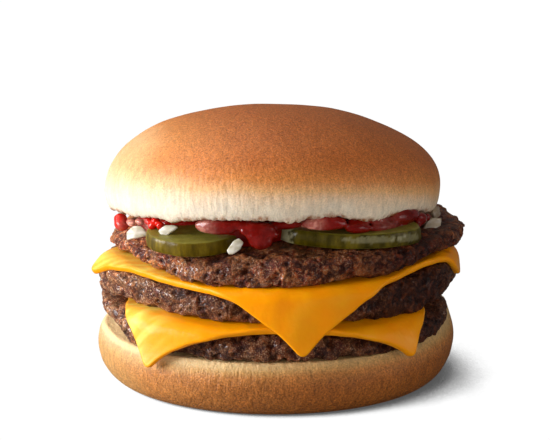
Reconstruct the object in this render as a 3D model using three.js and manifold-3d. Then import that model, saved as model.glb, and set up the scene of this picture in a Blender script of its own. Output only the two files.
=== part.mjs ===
// A triple cheeseburger, modelled as the stack it is. From below: the bottom bun, three beef patties with a
// slice of processed cheese on the first and on the second, two pickle slices with chopped onion and
// ketchup, and the top bun, which the pickles prop up at the front.
// Units are millimetres and +Z is up. The front faces -Y, and the flat base lies on z = 0.
// A bearing is an angle round the stack's axis, counted from the front towards +X.
import * as THREE from "three";
import { mergeVertices } from "three/addons/utils/BufferGeometryUtils.js";
import Module from "manifold-3d";

const wasm = await Module();
wasm.setup();

// ---- Driving dimensions -----------------------------------------------------------------------------
const GAP = 0.35; // clear space between two layers that rest on each other
const CLEARANCE = 0.1; // space left round a piece where its neighbour is cut back from it
const ROUND_STEPS = 40; // facets round a bun or a patty

// The bottom bun's flat base, how far its side bulges, the height of its widest ring, and its top.
const BOTTOM = { base: 45, bulge: 7.9, waist: 10.2, rimRise: 9.5, rimAngle: 0.733, height: 16.6 };
// The top bun's underside, its widest ring and that ring's height, and the dome above it.
const TOP = { rim: 47.2, radius: 49.6, waist: 7.7, dome: 22.1, power: 2.06 };
// Where the top bun sits: the middle of its underside, how far it leans back, and its bend.
const SEAT = { x: -0.9, z: 50, lean: THREE.MathUtils.degToRad(5.5), bend: 0.85 };
const PATTY_EDGE = 0.08; // share of a patty's radius that its rounded edge takes up
const SLICE = { side: 82, thickness: 2, cells: 14 };
const SAUCE = { radius: 41, backRadius: 34, bulge: 0.05, onPickles: 51.2, least: 0.6 };

// ---- Surfaces between the layers --------------------------------------------------------------------
// A surface is flat in the middle and bends towards its edge. It has these sizes:
// z: height in the middle; sag: how far the edge lies below it; saddle: how much more the front and back
// edges sag than the sides; roll: how far the left edge lies above the right one.
const FLAT_RADIUS = 25;
const EDGE_RADIUS = 50;
const surface = (z, sag, saddle, roll) => ({ z, sag, saddle, roll });
const raised = (below, by) => ({ ...below, z: below.z + by });

function heightAt(level, x, y) {
  const radius = Math.hypot(x, y);
  const past = Math.max(0, radius - FLAT_RADIUS) / (EDGE_RADIUS - FLAT_RADIUS);
  const towardsFront = (y * y - x * x) / (radius * radius || 1);
  const drop = past * past * (level.sag + level.saddle * towardsFront);
  return level.z - drop - (level.roll * x) / (2 * EDGE_RADIUS);
}

const bottomBunTop = surface(BOTTOM.height, 0.6, 0, 0);
const pattyTops = [surface(25.1, 0.6, 0.5, 0.6), surface(36.2, 0.2, 1.3, 0.2), surface(46.3, 1.4, 0.6, -3)];
const layers = [];
for (const top of pattyTops) {
  const below = layers.length ? layers[layers.length - 1].sliceTop : bottomBunTop;
  layers.push({ bottom: raised(below, GAP), top, sliceTop: raised(top, GAP + SLICE.thickness) });
}

// Height of the top bun's underside.
function seatHeight(x, y) {
  return SEAT.z - Math.tan(SEAT.lean) * y + (SEAT.bend * (y * y - x * x)) / TOP.rim ** 2;
}

// ---- Curves round the axis --------------------------------------------------------------------------
const around = (radius, bearing) => [radius * Math.sin(bearing), -radius * Math.cos(bearing)];
const turned = (angle) => Math.atan2(Math.sin(angle), Math.cos(angle));

// A closed wave: each entry is [count, size, phase].
function wave(bearing, entries) {
  return entries.reduce((sum, [count, size, phase]) => sum + size * Math.cos(count * bearing + phase), 0);
}

// Rounded bumps, each with its own bearing, width and size.
function bumpsAt(bearing, bumps) {
  return bumps.reduce((sum, { at, width, size }) => {
    return sum + size * Math.exp(-((turned(bearing - at) / width) ** 2));
  }, 0);
}

// Points of a superellipse from angle `from` to angle `to`, as [across, up] shares.
function arc(from, to, steps, power = 2) {
  const share = (value) => Math.sign(value) * Math.abs(value) ** (2 / power);
  return Array.from({ length: steps + 1 }, (_, i) => {
    const angle = from + ((to - from) * i) / steps;
    return [share(Math.cos(angle)), share(Math.sin(angle))];
  });
}

// ---- Geometry helpers -------------------------------------------------------------------------------
// Moves every vertex of a geometry to move(x, y, z).
function reshape(geometry, move) {
  const places = geometry.getAttribute("position");
  for (let i = 0; i < places.count; i++) {
    places.setXYZ(i, ...move(places.getX(i), places.getY(i), places.getZ(i)));
  }
  return geometry;
}

// Spins a profile of [radius, height] round +Z, and moves each vertex to place(radius, bearing, height).
function spun(profile, steps, place) {
  const points = profile.map(([radius, height]) => new THREE.Vector2(radius, height));
  const lathe = new THREE.LatheGeometry(points, steps);
  return reshape(lathe, (x, y, z) => place(Math.hypot(x, z), Math.atan2(x, z), y));
}

function welded(geometry) {
  const bare = new THREE.BufferGeometry();
  bare.setAttribute("position", geometry.getAttribute("position").clone());
  bare.setIndex(geometry.index.clone());
  return mergeVertices(bare, 1e-3);
}

function solid(geometry) {
  const { attributes, index } = welded(geometry);
  const triVerts = new Uint32Array(index.array);
  const vertProperties = attributes.position.array;
  return new wasm.Manifold(new wasm.Mesh({ numProp: 3, vertProperties, triVerts }));
}

function geometryOf(shape) {
  const mesh = shape.getMesh();
  const made = new THREE.BufferGeometry();
  made.setAttribute("position", new THREE.BufferAttribute(new Float32Array(mesh.vertProperties), 3));
  made.setIndex(new THREE.BufferAttribute(new Uint32Array(mesh.triVerts), 1));
  made.computeVertexNormals();
  return made;
}

// The same body grown outwards by the clearance, to cut a neighbour back from it.
function swollen(geometry) {
  const body = welded(geometry);
  body.computeVertexNormals();
  const places = body.getAttribute("position");
  const normals = body.getAttribute("normal");
  const place = new THREE.Vector3();
  const normal = new THREE.Vector3();
  for (let i = 0; i < places.count; i++) {
    place.fromBufferAttribute(places, i).addScaledVector(normal.fromBufferAttribute(normals, i), CLEARANCE);
    places.setXYZ(i, place.x, place.y, place.z);
  }
  return solid(body);
}

// A geometry with every body of a list cut out of it, of which the largest piece is kept.
function clearOf(geometry, bodies) {
  const cut = bodies.reduce((left, body) => left.subtract(body), solid(geometry));
  const largest = cut.decompose().reduce((a, b) => (a.volume() > b.volume() ? a : b));
  return geometryOf(largest);
}

// ---- Materials --------------------------------------------------------------------------------------
const finish = (color, roughness) => new THREE.MeshStandardMaterial({ color, roughness, metalness: 0 });
const crust = finish(0xb5703a, 0.6);
const beef = finish(0x5f3220, 0.45);
const cheese = finish(0xf2a21a, 0.35);
const pickle = finish(0x6d6a22, 0.3);
const ketchup = finish(0x9c1408, 0.2);
const onion = finish(0xe6ddc8, 0.3);

const burger = new THREE.Group();
function addPiece(name, geometry, material) {
  const mesh = new THREE.Mesh(geometry, material);
  mesh.name = name;
  burger.add(mesh);
}

// ---- Bottom bun -------------------------------------------------------------------------------------
function bottomBunGeometry() {
  const { base, bulge, waist, rimRise, rimAngle, height } = BOTTOM;
  const below = arc(-Math.PI / 2, 0, 5).map(([across, up]) => [base + bulge * across, waist * (1 + up)]);
  const above = arc(0, rimAngle, 3).map(([across, up]) => [base + bulge * across, waist + rimRise * up]);
  const rim = above[above.length - 1][0];
  const flat = [0.75, 0.5, 0].map((share) => [rim * share, height]);
  const profile = [[0, 0], ...below, ...above.slice(1), ...flat];
  const uneven = [[2, 0.3, 0.4], [3, 0.3, 1.9], [5, 0.15, 0.7]];
  return spun(profile, ROUND_STEPS, (radius, bearing, up) => {
    const share = up / height;
    const [x, y] = around(radius + (radius / base) * share * wave(bearing, uneven), bearing);
    return [x, y, up - (height - heightAt(bottomBunTop, x, y)) * share ** 4];
  });
}
addPiece("bun_bottom", bottomBunGeometry(), crust);

// ---- Cheese slices ----------------------------------------------------------------------------------
// A soft square slice lies on its patty and folds over the edge where it reaches past it. Each corner has
// its bearing, the radius where its fold starts, the fold's own radius, and its steepest angle.
const slices = [
  {
    name: "cheese_lower",
    middle: raised(layers[0].sliceTop, -SLICE.thickness / 2),
    x: -1.4,
    y: -6.6,
    turn: THREE.MathUtils.degToRad(2.4),
    corners: [
      { bearing: -0.7, start: 50.2, radius: 3.5, steepest: 1.42 },
      { bearing: 0.74, start: 50.2, radius: 3.5, steepest: 1.3 },
      { bearing: 2.36, start: 50.2, radius: 4, steepest: 1.2 },
      { bearing: -2.3, start: 50.2, radius: 4, steepest: 1.2 },
    ],
  },
  {
    name: "cheese_upper",
    middle: raised(layers[1].sliceTop, -SLICE.thickness / 2),
    x: 1.2,
    y: -10.2,
    turn: THREE.MathUtils.degToRad(52),
    corners: [
      { bearing: 0.14, start: 49.8, radius: 3.5, steepest: 1.42 },
      { bearing: 1.62, start: 50.6, radius: 3.2, steepest: 1.52 },
      { bearing: 3.2, start: 50, radius: 4, steepest: 0.9 },
      { bearing: -1.66, start: 48.3, radius: 5.5, steepest: 1.05 },
    ],
  },
];

// The fold at a bearing: a blend of the four corners, each counting most near its own bearing.
function foldAt(bearing, corners) {
  const weights = corners.map((corner) => Math.max(0, Math.cos(bearing - corner.bearing)) ** 6);
  const total = weights.reduce((sum, weight) => sum + weight, 0);
  const blend = (key) => corners.reduce((sum, corner, i) => sum + corner[key] * weights[i], 0) / total;
  return { start: blend("start"), radius: blend("radius"), steepest: blend("steepest") };
}

// Where a point of the flat slice comes to lie, `lift` above the slice's middle surface.
function draped(flatX, flatY, lift, middle, corners) {
  const reach = Math.hypot(flatX, flatY);
  const bearing = Math.atan2(flatX, -flatY);
  const { start, radius, steepest } = foldAt(bearing, corners);
  const over = reach - start;
  if (over <= 0) return [flatX, flatY, heightAt(middle, flatX, flatY) + lift];

  const [startX, startY] = around(start, bearing);
  const [innerX, innerY] = around(start - 1, bearing);
  const startZ = heightAt(middle, startX, startY);
  const first = Math.atan(heightAt(middle, innerX, innerY) - startZ);
  const bendLength = radius * (steepest - first);
  const angle = over < bendLength ? first + over / radius : steepest;
  const straight = Math.max(0, over - bendLength);
  const bent = radius * (Math.sin(angle) - Math.sin(first));
  const out = bent + straight * Math.cos(angle) + lift * Math.sin(angle);
  const down = radius * (Math.cos(first) - Math.cos(angle)) + straight * Math.sin(angle);

  // A corner keeps its width as it folds down, so it spreads round the edge.
  const offs = corners.map((corner) => turned(bearing - corner.bearing));
  const off = offs.reduce((a, b) => (Math.abs(a) < Math.abs(b) ? a : b));
  const spread = off * (reach / (start + out) - 1) * Math.cos(2 * off) ** 2;
  const [x, y] = around(start + out, bearing + spread);
  return [x, y, startZ - down + lift * Math.cos(angle)];
}

function sliceGeometry({ x, y, turn, middle, corners }) {
  const { side, thickness, cells } = SLICE;
  const flat = new THREE.BoxGeometry(side, side, thickness, cells, cells, 1).rotateZ(turn).translate(x, y, 0);
  return reshape(flat, (flatX, flatY, lift) => draped(flatX, flatY, lift, middle, corners));
}

const sliceBodies = [];
for (const slice of slices) {
  const geometry = sliceGeometry(slice);
  addPiece(slice.name, geometry, cheese);
  sliceBodies.push(swollen(geometry));
}

// ---- Patties ----------------------------------------------------------------------------------------
// Each patty is a pressed disc with a rounded, uneven edge that sits a little off the axis.
const patties = [
  {
    name: "patty_bottom",
    x: -0.5,
    y: 0.4,
    radius: 50.6,
    uneven: [[2, -0.7, 0], [3, 0.4, 2.6], [5, 0.35, 1.1], [8, 0.3, 0.3]],
    bumps: [{ at: -1.15, width: 0.35, size: 1.8 }, { at: 1.15, width: 0.35, size: 1.2 }],
  },
  {
    name: "patty_middle",
    x: 0.4,
    y: 0.4,
    radius: 50.8,
    uneven: [[2, -0.9, 0], [3, 0.35, 4.0], [6, 0.35, 2.2], [9, 0.3, 3.5]],
    bumps: [{ at: -1.15, width: 0.35, size: 1.5 }, { at: 1.15, width: 0.35, size: 2.0 }],
  },
  {
    name: "patty_top",
    x: 3.5,
    y: 0.5,
    radius: 50.9,
    uneven: [[2, -1.0, 0], [4, 0.35, 2.0], [7, 0.35, 0.4], [10, 0.3, 5.0]],
    bumps: [{ at: -1.1, width: 0.35, size: -3.5 }],
  },
];

function pattyGeometry({ x, y, radius, uneven, bumps }, { bottom, top }) {
  const roundedEdge = ([across, side]) => [1 - PATTY_EDGE * (1 - across), side];
  const edge = arc(-Math.PI / 2, Math.PI / 2, 6).map(roundedEdge);
  const profile = [[0, -1], [0.5, -1], [0.75, -1], ...edge, [0.75, 1], [0.5, 1], [0, 1]];
  return spun(profile, ROUND_STEPS, (share, bearing, side) => {
    const [dx, dy] = around(share * (radius + wave(bearing, uneven) + bumpsAt(bearing, bumps)), bearing);
    const low = heightAt(bottom, x + dx, y + dy);
    const high = heightAt(top, x + dx, y + dy);
    return [x + dx, y + dy, low + ((1 + side) / 2) * (high - low)];
  });
}

for (const [index, patty] of patties.entries()) {
  addPiece(patty.name, clearOf(pattyGeometry(patty, layers[index]), sliceBodies), beef);
}

// ---- Pickles ----------------------------------------------------------------------------------------
// Cut rounds that lie on the top patty. The ketchup runs over them between bearings `from` and `to`.
const pickles = [
  {
    name: "pickle_left",
    place: [-22.8, -32.6, 46.6],
    size: [13.6, 12.5, 3.9],
    tilt: 4,
    from: -0.95,
    to: -0.26,
  },
  {
    name: "pickle_right",
    place: [19.7, -30, 47.1],
    size: [19.4, 12, 4.1],
    tilt: 1.5,
    from: 0.03,
    to: 0.98,
  },
];

function pickleGeometry({ place, size, tilt }) {
  const roundedEdge = ([across, up]) => [0.95 + 0.05 * across, (1 + up) / 2];
  const edge = arc(-Math.PI / 2, Math.PI / 2, 4, 2.6).map(roundedEdge);
  const disc = spun([[0, 0], ...edge, [0, 1]], 28, (share, bearing, up) => {
    return [...around(share * (1 + 0.015 * Math.cos(5 * bearing)), bearing), up];
  });
  return disc.scale(...size).rotateX(THREE.MathUtils.degToRad(tilt)).translate(...place);
}

const toppingBodies = [];
for (const slice of pickles) {
  const geometry = pickleGeometry(slice);
  addPiece(slice.name, geometry, pickle);
  toppingBodies.push(swollen(geometry));
}

// ---- Onion ------------------------------------------------------------------------------------------
// Chopped pieces that stick out of the ketchup: bearing, distance from the axis, height, and size.
const onions = [
  { bearing: -1.19, reach: 45, z: 47.7, size: [6.0, 5, 3.0], roll: 4 },
  { bearing: -0.82, reach: 45.5, z: 51.8, size: [5.6, 4, 1.8], roll: 0 },
  { bearing: -0.24, reach: 47, z: 48.2, size: [4.8, 5, 3.2], roll: -22 },
  { bearing: 1.2, reach: 47.5, z: 49.3, size: [6.2, 5, 3.0], roll: 10 },
];

function onionGeometry({ bearing, reach, z, size, roll }) {
  const [wide, , high] = size;
  const piece = reshape(new THREE.BoxGeometry(...size, 4, 2, 2), (x, y, up) => {
    const toEnd = (2 * x) / wide;
    return [x, y, up * (1 - 0.3 * toEnd ** 2) - 0.12 * high * toEnd ** 2];
  });
  const [x, y] = around(reach, bearing);
  return piece.rotateY(THREE.MathUtils.degToRad(roll)).rotateZ(bearing).translate(x, y, z);
}

for (const [index, piece] of onions.entries()) {
  const geometry = onionGeometry(piece);
  addPiece(`onion_${index + 1}`, geometry, onion);
  toppingBodies.push(swollen(geometry));
}

// ---- Top bun ----------------------------------------------------------------------------------------
function topBunGeometry() {
  const { rim, radius, waist, dome, power } = TOP;
  const bulge = radius - rim;
  const below = arc(-Math.PI / 2, 0, 4).map(([across, up]) => [rim + bulge * across, waist * (1 + up)]);
  const above = arc(0, Math.PI / 2, 10, power).map(([across, up]) => [radius * across, waist + dome * up]);
  above[above.length - 1][0] = 0;
  const profile = [[0, 0], [rim * 0.5, 0], [rim * 0.75, 0], ...below, ...above.slice(1)];
  const uneven = [[2, 0.25, 1.2], [3, 0.3, 0.5], [5, 0.15, 2.2]];
  const bun = spun(profile, ROUND_STEPS, (across, bearing, up) => {
    const [x, y] = around(across * (1 + wave(bearing, uneven) / radius), bearing);
    return [x, y, up + (SEAT.bend * (y * y - x * x)) / rim ** 2];
  });
  return bun.rotateX(-SEAT.lean).translate(SEAT.x, 0, SEAT.z);
}
const topBun = topBunGeometry();
addPiece("bun_top", topBun, crust);

// ---- Ketchup ----------------------------------------------------------------------------------------
// A wedge that fills the space between the top patty and the top bun, out to a lobed edge.
const lobes = [
  { at: -1.25, width: 0.16, size: 7 },
  { at: -0.86, width: 0.14, size: 6.5 },
  { at: -0.34, width: 0.2, size: 5 },
  { at: -0.06, width: 0.09, size: 8 },
  { at: 0.3, width: 0.16, size: 6 },
  { at: 0.62, width: 0.12, size: 4 },
  { at: 0.98, width: 0.2, size: 7 },
  { at: 1.9, width: 0.2, size: 5 },
  { at: -2.1, width: 0.2, size: 5 },
];

// The surface that the ketchup lies on: a pickle near the front edge, or else the top patty.
function sauceFloor(x, y, bearing) {
  const onPickle = y < 0 && pickles.some(({ from, to }) => bearing > from && bearing < to);
  return onPickle ? SAUCE.onPickles : heightAt(layers[2].top, x, y);
}

function ketchupGeometry() {
  const roundedEdge = ([across, side]) => [1 - SAUCE.bulge * (1 - across), side];
  const edge = arc(-Math.PI / 2, Math.PI / 2, 4).map(roundedEdge);
  return spun([[0, -1], [0.55, -1], ...edge, [0.55, 1], [0, 1]], 52, (share, bearing, side) => {
    const towardsBack = (1 - Math.cos(bearing)) / 2;
    const plain = SAUCE.radius + (SAUCE.backRadius - SAUCE.radius) * towardsBack;
    const [x, y] = around(share * (plain + bumpsAt(bearing, lobes)), bearing);
    const low = sauceFloor(x, y, bearing) + GAP;
    const high = Math.max(low + SAUCE.least, seatHeight(x, y) - GAP);
    return [x, y, low + ((1 + side) / 2) * (high - low)];
  });
}
addPiece("ketchup", clearOf(ketchupGeometry(), [swollen(topBun), ...toppingBodies]), ketchup);

// ---- Placing ----------------------------------------------------------------------------------------
// The finished stack is moved so that the middle of its outer box stands over the origin.
const middle = new THREE.Box3().setFromObject(burger).getCenter(new THREE.Vector3());
burger.position.set(-middle.x, -middle.y, 0);

export default burger;
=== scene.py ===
# %% [markdown]
# # A triple cheeseburger
# This lesson dresses a packed stack of plain solids: a bottom bun, three beef patties, two slices of
# processed cheese, two pickle slices, onion, ketchup and a top bun. The solids already have the right
# sizes and places. Blender adds what the eye looks for: pebbly meat, soft melted corners, torn crumb
# along the buns' cut edges, and wet toppings.
#
# Every piece is modelled in millimetres round the stack's own axis and brought to metres at the end. Noise
# gives the small unevenness. Some of it starts somewhere else in every session unless it has a seed.

# %% Load the stack
import math
import random

import bmesh
import bpy
from mathutils import Matrix, Vector, noise
from mathutils.bvhtree import BVHTree


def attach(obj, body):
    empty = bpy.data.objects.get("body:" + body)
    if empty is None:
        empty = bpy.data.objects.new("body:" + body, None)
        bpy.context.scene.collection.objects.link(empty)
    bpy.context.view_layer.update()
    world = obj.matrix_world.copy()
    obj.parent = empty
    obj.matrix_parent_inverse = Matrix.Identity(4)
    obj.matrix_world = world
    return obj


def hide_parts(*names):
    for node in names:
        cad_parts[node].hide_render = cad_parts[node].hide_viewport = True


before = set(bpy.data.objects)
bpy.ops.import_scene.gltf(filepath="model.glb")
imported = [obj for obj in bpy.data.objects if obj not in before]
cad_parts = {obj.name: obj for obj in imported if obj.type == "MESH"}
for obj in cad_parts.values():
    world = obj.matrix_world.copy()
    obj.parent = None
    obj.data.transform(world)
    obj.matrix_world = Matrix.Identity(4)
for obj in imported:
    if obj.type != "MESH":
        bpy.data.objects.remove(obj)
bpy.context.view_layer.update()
MM = 0.001
STACK_AXIS = Vector((-0.695, 1.233, 0.0))
NOISE_SEED = 4
noise.seed_set(NOISE_SEED)


print("solids:", sorted(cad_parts))

# %% [markdown]
# ## The camera
# A burger is shot from a little above the table with a long lens, so that its layers show in full height
# and the far side doesn't shrink. The camera comes first, because every later choice is looked at through
# it. It stands in front of the stack and looks 12 degrees down.

# %% Place the camera
CAMERA = {"lens": 132.7, "sensor": 36.0, "back": 585.9, "up": 169.35, "tilt": math.radians(11.934)}


def in_scene(name, data):
    made = bpy.data.objects.new(name, data)
    bpy.context.scene.collection.objects.link(made)
    return made


camera_data = bpy.data.cameras.new("front_camera")
camera_data.lens = CAMERA["lens"]
camera_data.sensor_width = CAMERA["sensor"]
camera = in_scene("front_camera", camera_data)
camera.location = (STACK_AXIS.x * MM, (STACK_AXIS.y - CAMERA["back"]) * MM, CAMERA["up"] * MM)
camera.rotation_euler = (math.pi / 2 - CAMERA["tilt"], 0.0, 0.0)
bpy.context.scene.camera = camera
print("camera stands", round(-camera.location.y, 3), "m in front")

# %% [markdown]
# ## Curves round the stack
# Round food is never quite round. A wave is a sum of a few cosines that closes on itself after one turn,
# and a bump swells one place only. A bearing is the angle round the axis, counted from the front to the
# right, so the front is 0 and the right side is a quarter turn. Ripples are noise of several lengths.

# %% Bearings, waves and bumps
def around(reach, bearing):
    return reach * math.sin(bearing), -reach * math.cos(bearing)


def reach_and_bearing(point):
    return math.hypot(point.x, point.y), math.atan2(point.x, -point.y)


def turned(angle):
    return math.atan2(math.sin(angle), math.cos(angle))


def wave(bearing, entries):
    return sum(size * math.cos(count * bearing + phase) for count, size, phase in entries)


def bumps_at(bearing, bumps):
    return sum(size * math.exp(-((turned(bearing - at) / width) ** 2)) for at, width, size in bumps)


def ripples(place, entries):
    return sum(size * noise.noise(place / length) for length, size in entries)


def smooth(low, high, value):
    share = min(1.0, max(0.0, (value - low) / (high - low)))
    return share * share * (3 - 2 * share)


def held(value):
    return max(0.0, min(1.0, value))


def arc(start, end, steps, power=2.0):
    def share(value):
        return math.copysign(abs(value) ** (2 / power), value)

    angles = [start + (end - start) * step / steps for step in range(steps + 1)]
    return [(share(math.cos(angle)), share(math.sin(angle))) for angle in angles]


# %% [markdown]
# ## The surfaces between the layers
# A stack is easiest to describe by the surfaces where its layers meet. Each one is flat in the middle and
# droops towards its edge, because soft food bends there, and a few places droop more. Patties, cheese and
# buns all ask these surfaces for their height, so nothing floats and nothing cuts into its neighbour.

# %% Heights inside the stack
GAP = 0.35
FLAT_RADIUS = 25.0
EDGE_RADIUS = 50.0
SLICE_THICKNESS = 2.0
BOTTOM_BUN_HEIGHT = 16.6


def surface(z, sag, saddle, roll, droops):
    return {"z": z, "sag": sag, "saddle": saddle, "roll": roll, "droops": droops}


def raised(level, by):
    return {**level, "z": level["z"] + by}


def height_at(level, x, y):
    radius = math.hypot(x, y) or 1e-9
    past = max(0.0, radius - FLAT_RADIUS) / (EDGE_RADIUS - FLAT_RADIUS)
    towards_front = (y * y - x * x) / (radius * radius)
    drop = past * past * (level["sag"] + level["saddle"] * towards_front)
    if past > 0:
        drop += past * past * bumps_at(math.atan2(x, -y), level["droops"])
    return level["z"] - drop - level["roll"] * x / (2 * EDGE_RADIUS)


bottom_bun_top = surface(BOTTOM_BUN_HEIGHT, 0.6, 0.0, 0.0, [(-1.45, 0.42, -2.3), (1.25, 0.3, -0.5)])
patty_tops = [
    surface(25.1, 0.6, 0.5, 0.6, [(-1.65, 0.25, -1.6), (-1.3, 0.22, 1.4), (-0.8, 0.2, -0.5),
                                  (-0.25, 0.25, 0.5), (0.55, 0.35, 1.1), (1.05, 0.35, 0.7),
                                  (1.6, 0.25, 1.8)]),
    surface(36.2, 0.2, 1.3, 0.2, [(-0.6, 0.35, 1.3), (1.1, 0.35, -0.9)]),
    surface(46.3, 1.2, 0.5, -3.0, [(-0.75, 0.45, 0.9), (1.3, 0.35, 0.9), (1.6, 0.3, 0.4)]),
]
layers = []
below = bottom_bun_top
for top in patty_tops:
    layers.append({"bottom": raised(below, GAP), "top": top})
    below = raised(top, GAP + SLICE_THICKNESS)
print("patty thicknesses in mm:", [round(layer["top"]["z"] - layer["bottom"]["z"], 1) for layer in layers])

# %% [markdown]
# ## From a drawn half to a round piece
# Buns, patties and pickles are turned shapes, so each starts as half of its cross-section, a short chain
# of vertices. The spin operator sweeps the chain round the axis. A whole turn in one sweep gets slow with
# many steps, so the sweep makes an eighth, which is copied and turned three times, twice as large each
# time. Its first and last vertices lie on the axis, where the sweep leaves a whole circle of doubles, and
# merging them closes the two poles and the seams.

# %% Spin and finish
# lengths in mm below this count as none
TINY = 1e-4


def spun(profile, steps):
    mesh = bmesh.new()
    chain = [mesh.verts.new((radius, 0.0, height)) for radius, height in profile]
    links = [mesh.edges.new(pair) for pair in zip(chain, chain[1:])]
    bmesh.ops.spin(mesh, geom=chain + links, cent=(0, 0, 0), axis=(0, 0, 1), dvec=(0, 0, 0),
                   angle=math.tau / 8, steps=steps // 8, use_merge=False, use_duplicate=False)
    for share in (8, 4, 2):
        copy = bmesh.ops.duplicate(mesh, geom=mesh.verts[:] + mesh.edges[:] + mesh.faces[:])
        moved = [item for item in copy["geom"] if isinstance(item, bmesh.types.BMVert)]
        bmesh.ops.rotate(mesh, verts=moved, cent=(0, 0, 0), matrix=Matrix.Rotation(math.tau / share, 3, "Z"))
    bmesh.ops.remove_doubles(mesh, verts=mesh.verts, dist=TINY)
    bmesh.ops.recalc_face_normals(mesh, faces=mesh.faces)
    return mesh


def ring_vertices(mesh):
    """Each vertex of a turned shape with its reach, its bearing and its height."""
    for vertex in mesh.verts:
        yield vertex, *reach_and_bearing(vertex.co), vertex.co.z


def float_layers(mesh, *names):
    return [mesh.verts.layers.float.get(name) or mesh.verts.layers.float.new(name) for name in names]


def mesh_data(name, mesh):
    data = bpy.data.meshes.new(name)
    mesh.to_mesh(data)
    mesh.free()
    return data


def make_piece(name, mesh, finish, slot, *nodes):
    """Brings a mesh from millimetres round the stack's axis to metres, and makes it a piece."""
    bmesh.ops.translate(mesh, verts=mesh.verts, vec=STACK_AXIS)
    bmesh.ops.scale(mesh, verts=mesh.verts, vec=(MM, MM, MM))
    data = mesh_data(name, mesh)
    data.shade_smooth()
    data.materials.append(finish)
    piece = in_scene(name, data)
    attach(piece, "root")
    if nodes:
        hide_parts(*nodes)
    print(name, "has", sum(len(face.vertices) - 2 for face in data.polygons), "triangles")
    return piece


# %% [markdown]
# ## Helpers for finishes
# A finish is a small network of nodes. Short helpers keep it readable: one adds a node and sets or links
# its inputs, others blend two colours, lay colours along a ramp, spread a value over a range, or link the
# results to the shader. Colours are written as the three numbers of a colour chart, 0 to 255, and turned
# into the linear values that the renderer works with.

# %% Nodes, ramps and colours
def colour(red, green, blue):
    def linear(value):
        share = value / 255
        return share / 12.92 if share <= 0.04045 else ((share + 0.055) / 1.055) ** 2.4

    return (linear(red), linear(green), linear(blue), 1.0)


def grey(value):
    return (value, value, value, 1.0)


def add(tree, kind, inputs=None, **settings):
    made = tree.nodes.new("ShaderNode" + kind)
    for key, value in settings.items():
        setattr(made, key, value)
    for key, value in (inputs or {}).items():
        if isinstance(value, bpy.types.NodeSocket):
            tree.links.new(value, made.inputs[key])
        else:
            made.inputs[key].default_value = value
    return made


def ramp(tree, value, stops):
    """Colours along a value. A stop's colour is three chart numbers, or one linear number for a grey."""
    made = add(tree, "ValToRGB", {"Fac": value})
    elements = made.color_ramp.elements
    while len(elements) < len(stops):
        elements.new(0.5)
    for element, (place, paint) in zip(elements, stops):
        element.position = place
        element.color = colour(*paint) if isinstance(paint, tuple) else grey(paint)
    return made.outputs["Color"]


def math_node(tree, operation, first, second, clamp=False):
    return add(tree, "Math", {0: first, 1: second}, operation=operation, use_clamp=clamp).outputs[0]


def round_zero(tree, value, strength):
    """A value round one half, brought round zero and multiplied."""
    return math_node(tree, "MULTIPLY", math_node(tree, "SUBTRACT", value, 0.5), strength)


def spread(tree, value, low, high, start=0.0, end=1.0):
    """A value that runs from low to high while another runs from start to end."""
    return add(tree, "MapRange", {"Value": value, "From Min": start, "From Max": end,
                                  "To Min": low, "To Max": high}).outputs[0]


def blended(tree, factor, first, second, mode="MIX"):
    inputs = {0: factor, 6: first, 7: second}
    return add(tree, "Mix", inputs, data_type="RGBA", blend_type=mode).outputs[2]


def attribute(tree, name):
    return add(tree, "Attribute", attribute_name=name).outputs["Fac"]


def new_finish(name, **constants):
    """A material whose shader already has the values that are the same all over."""
    material = bpy.data.materials.new(name)
    material.use_nodes = True
    shader = material.node_tree.nodes["Principled BSDF"]
    for key, value in constants.items():
        shader.inputs[key.replace("_", " ")].default_value = value
    return material, material.node_tree, shader


def link_to(shader, **values):
    for key, value in values.items():
        shader.id_data.links.new(value, shader.inputs[key.replace("_", " ")])


# %% [markdown]
# ## Mottle and grain, shared by every finish
# Real food is never one flat colour: it has patches a few millimetres wide, and a fine grain on top. Both
# are noise, so one node group makes them for every finish, from the object's own coordinates. It puts
# out two values round one half. Building it once keeps all the finishes alike.

# %% Build the mottle group
def build_mottle_group():
    group = bpy.data.node_groups.new("mottle", "ShaderNodeTree")
    for name, start in (("Patch Size", 0.006), ("Grain Size", 0.0006), ("Stretch", 1.0)):
        group.interface.new_socket(name, in_out="INPUT", socket_type="NodeSocketFloat").default_value = start
    for name in ("Patches", "Grain"):
        group.interface.new_socket(name, in_out="OUTPUT", socket_type="NodeSocketFloat")
    inputs = group.nodes.new("NodeGroupInput").outputs
    coords = add(group, "TexCoord").outputs["Object"]
    stretch = add(group, "CombineXYZ", {0: 1.0, 1: 1.0, 2: inputs["Stretch"]}).outputs[0]
    shaped = add(group, "VectorMath", {0: coords, 1: stretch}, operation="MULTIPLY").outputs[0]
    patch_scale = math_node(group, "DIVIDE", 1.0, inputs["Patch Size"])
    grain_scale = math_node(group, "DIVIDE", 1.0, inputs["Grain Size"])
    patches = add(group, "TexNoise", {"Vector": shaped, "Scale": patch_scale, "Detail": 3.0})
    grain = add(group, "TexNoise", {"Vector": shaped, "Scale": grain_scale, "Detail": 2.0, "Roughness": 0.6})
    outputs = group.nodes.new("NodeGroupOutput").inputs
    group.links.new(patches.outputs["Fac"], outputs["Patches"])
    group.links.new(grain.outputs["Fac"], outputs["Grain"])
    return group


mottle_group = build_mottle_group()


def mottle(tree, patch_size, grain_size, stretch=1.0):
    sizes = {"Patch Size": patch_size * MM, "Grain Size": grain_size * MM, "Stretch": stretch}
    made = add(tree, "Group", sizes, node_tree=mottle_group)
    return made.outputs["Patches"], made.outputs["Grain"]


def shaded(tree, paint, value, strength):
    """A colour made darker and lighter by a value round one half."""
    bright = spread(tree, value, 1 - strength, 1 + strength, 0.25, 0.75)
    return add(tree, "VectorMath", {0: paint, "Scale": bright}, operation="SCALE").outputs[0]


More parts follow.
